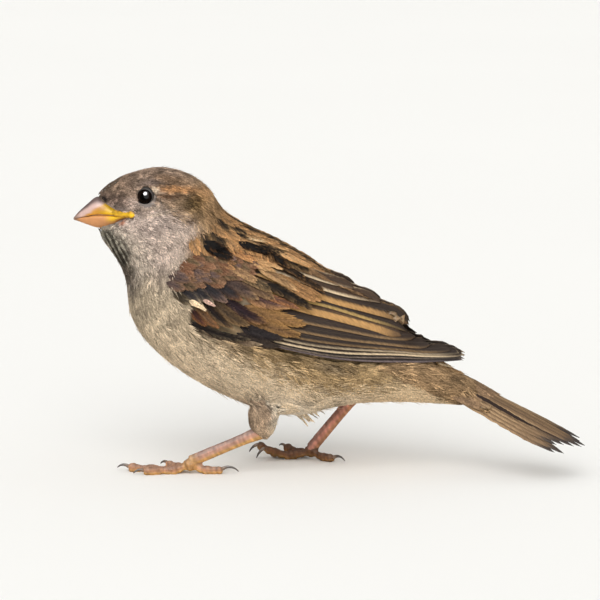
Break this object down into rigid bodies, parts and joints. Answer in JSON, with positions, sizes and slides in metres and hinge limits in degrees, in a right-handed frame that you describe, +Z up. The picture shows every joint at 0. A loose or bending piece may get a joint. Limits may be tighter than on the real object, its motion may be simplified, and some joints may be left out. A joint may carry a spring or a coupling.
{
  "type": "house sparrow",
  "caption": "Life-size still model of a standing house sparrow, striding, wings folded and tail level, in separate body parts.",
  "frame": {"origin": "on the floor under the middle of the bird's box, between its feet", "axes": "+Z up, the bird faces -Y, +X is its left side"},
  "size_m": [0.0418, 0.1372, 0.0816],
  "materials": {
    "body_feathers": "soft matte feathers, streaked grey-brown and buff",
    "flight_feathers": "matte dark brown vanes with buff edges",
    "bill_horn": "smooth horn, pinkish above and yellow at the gape",
    "eye": "wet gloss, black-brown",
    "leg_skin": "scaly pinkish skin",
    "claw_horn": "dark grey horn"
  },
  "bodies": {
    "root": {"head": "body_feathers", "neck": "body_feathers", "trunk": "body_feathers", "tail": "flight_feathers", "bill_upper": "bill_horn", "bill_lower": "bill_horn", "eye_left": "eye", "eye_right": "eye", "wing_left": "flight_feathers", "wing_right": "flight_feathers", "primaries_left": "flight_feathers", "primaries_right": "flight_feathers", "thigh_left": "body_feathers", "thigh_right": "body_feathers", "tarsus_left": "leg_skin", "tarsus_right": "leg_skin", "toe_middle_left": "leg_skin", "toe_outer_left": "leg_skin", "toe_inner_left": "leg_skin", "toe_hallux_left": "leg_skin", "toe_middle_right": "leg_skin", "toe_outer_right": "leg_skin", "toe_inner_right": "leg_skin", "toe_hallux_right": "leg_skin", "claw_middle_left": "claw_horn", "claw_outer_left": "claw_horn", "claw_inner_left": "claw_horn", "claw_hallux_left": "claw_horn", "claw_middle_right": "claw_horn", "claw_outer_right": "claw_horn", "claw_inner_right": "claw_horn", "claw_hallux_right": "claw_horn"}
  },
  "joints": []
}
